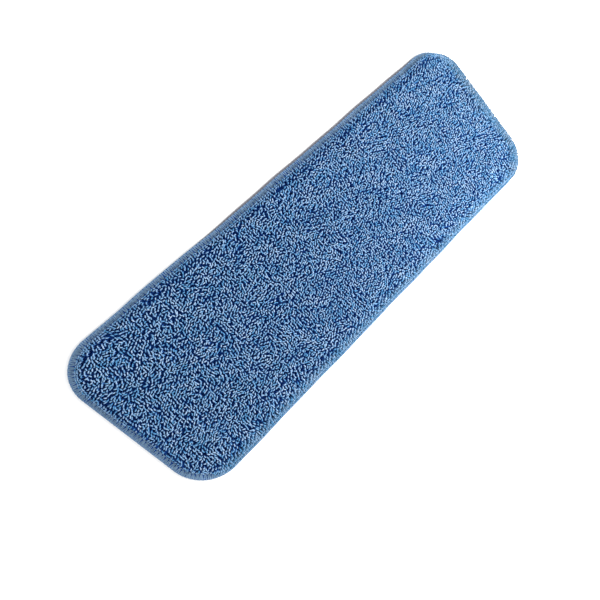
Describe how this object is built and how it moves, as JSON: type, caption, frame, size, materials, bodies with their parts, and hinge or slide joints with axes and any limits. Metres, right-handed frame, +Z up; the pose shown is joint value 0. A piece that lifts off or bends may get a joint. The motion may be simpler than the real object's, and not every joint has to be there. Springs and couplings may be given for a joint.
{
  "type": "microfibre wiping pad",
  "caption": "Flat rounded-rectangle wiping pad: looped microfibre face, foam core, loop-cloth back and overlocked edge, to press onto a hook-faced board eraser or flat wiper.",
  "frame": {"origin": "centre of the pad's footprint, on the surface that its back lies on", "axes": "+X along the length, +Y across the width, +Z up out of the looped face"},
  "size_m": [0.4, 0.14, 0.0103],
  "materials": {
    "brushed_loop_cloth": "matte",
    "foam": "matte",
    "ground_knit": "matte",
    "pile_yarn": "matte",
    "needle_yarn": "matte",
    "looper_yarn": "matte"
  },
  "bodies": {
    "root": {"back_cloth": "brushed_loop_cloth", "foam_core": "foam", "ground_cloth": "ground_knit", "pile_loops": "pile_yarn", "needle_thread": "needle_yarn", "upper_looper_thread": "looper_yarn", "lower_looper_thread": "looper_yarn"}
  },
  "joints": []
}
